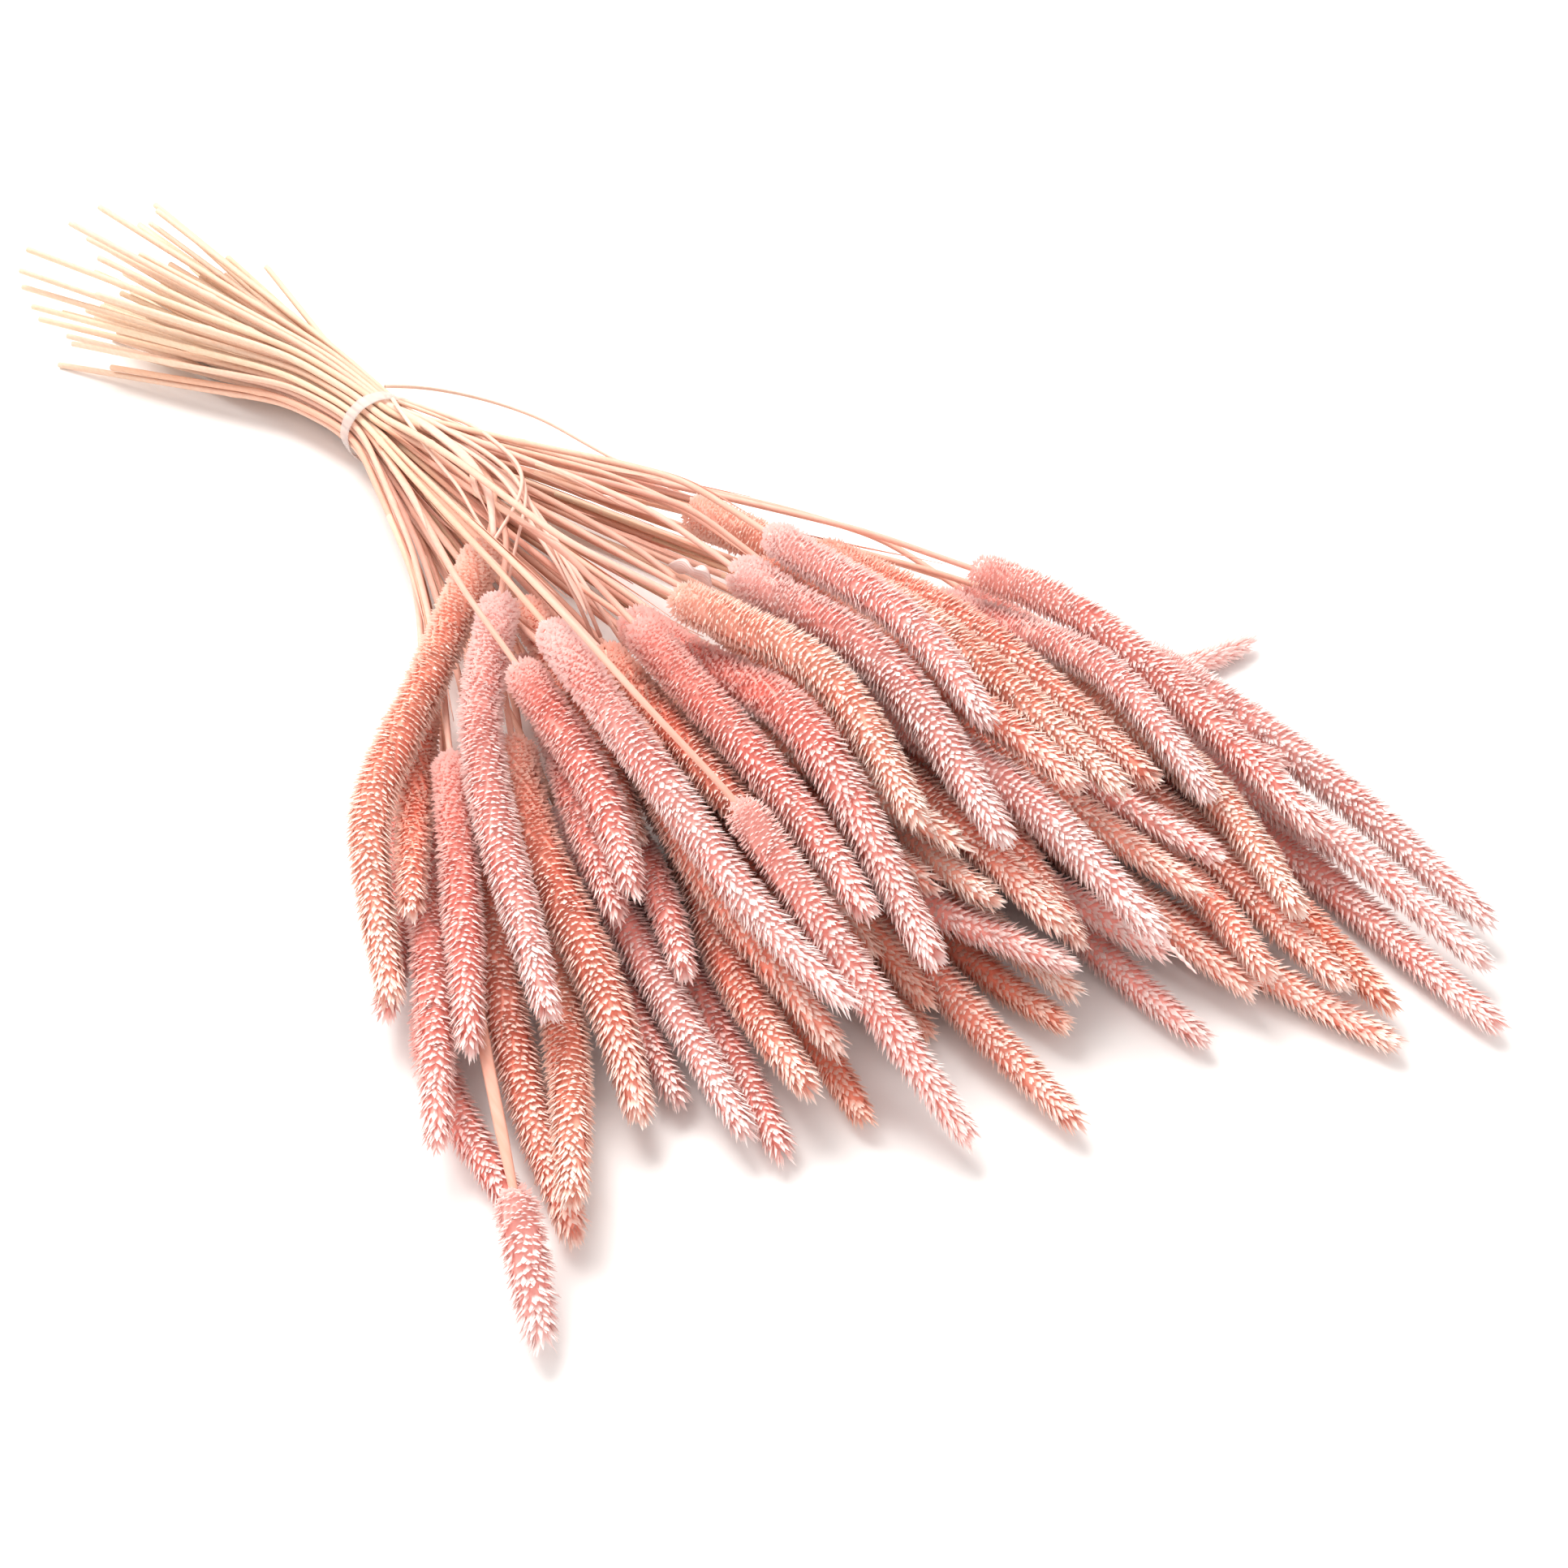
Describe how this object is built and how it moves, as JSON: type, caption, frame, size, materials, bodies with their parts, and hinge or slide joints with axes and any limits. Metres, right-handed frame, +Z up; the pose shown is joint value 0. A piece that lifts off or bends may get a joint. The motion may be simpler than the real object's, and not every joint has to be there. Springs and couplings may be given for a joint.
{
  "type": "dried timothy grass",
  "caption": "Tied bunch of dyed dried timothy grass lying flat, slim stems fanning out of a narrow tie into long, dense, cylindrical seed heads",
  "frame": {"origin": "on the surface that the bunch lies on, under the middle of its outline", "axes": "+X from the cut ends through the tie towards the seed heads, +Y across the bunch, +Z up from the surface"},
  "size_m": [0.4356, 0.237, 0.0518],
  "materials": {
    "rose": "dyed dried seed head, matt and fuzzy",
    "blush": "dyed dried seed head, matt and fuzzy",
    "salmon": "dyed dried seed head, matt and fuzzy",
    "peach": "dyed dried seed head, matt and fuzzy",
    "tan": "dyed dried seed head, matt and fuzzy",
    "straw": "dried leaf and straw, satin",
    "band": "thin pale band, satin"
  },
  "bodies": {
    "root": {"dried_leaf_1": "straw", "dried_leaf_2": "straw", "dried_leaf_3": "straw", "stalk_01": "peach", "stalk_02": "blush", "stalk_03": "salmon", "stalk_04": "rose", "stalk_05": "salmon", "stalk_07": "salmon", "stalk_10": "rose", "stalk_11": "blush", "stalk_13": "rose", "stalk_14": "rose", "stalk_15": "blush", "stalk_16": "rose", "stalk_17": "salmon", "stalk_18": "rose", "stalk_19": "salmon", "stalk_22": "salmon", "stalk_24": "rose", "stalk_25": "peach", "stalk_26": "rose", "stalk_27": "salmon", "stalk_28": "tan", "stalk_29": "peach", "stalk_30": "salmon", "stalk_31": "peach", "stalk_32": "rose", "stalk_33": "peach", "stalk_34": "tan", "stalk_36": "tan", "stalk_39": "blush", "stalk_40": "salmon", "stalk_41": "salmon", "stalk_42": "blush", "stalk_43": "peach", "stalk_44": "salmon", "stalk_45": "rose", "stalk_46": "blush", "stalk_47": "rose", "stalk_48": "peach", "stalk_49": "rose", "stalk_50": "salmon", "stalk_51": "blush", "stalk_52": "rose", "stalk_53": "salmon", "stalk_55": "salmon", "stalk_57": "salmon", "stalk_61": "blush", "stalk_62": "blush", "stalk_63": "rose", "stalks_06_20": "peach", "stalks_08_09": "rose", "stalks_12_21": "rose", "stalks_23_38": "tan", "stalks_35_37": "salmon", "stalks_54_59": "rose", "stalks_56_64": "salmon", "stalks_58_60": "tan", "tie": "band"}
  },
  "joints": []
}
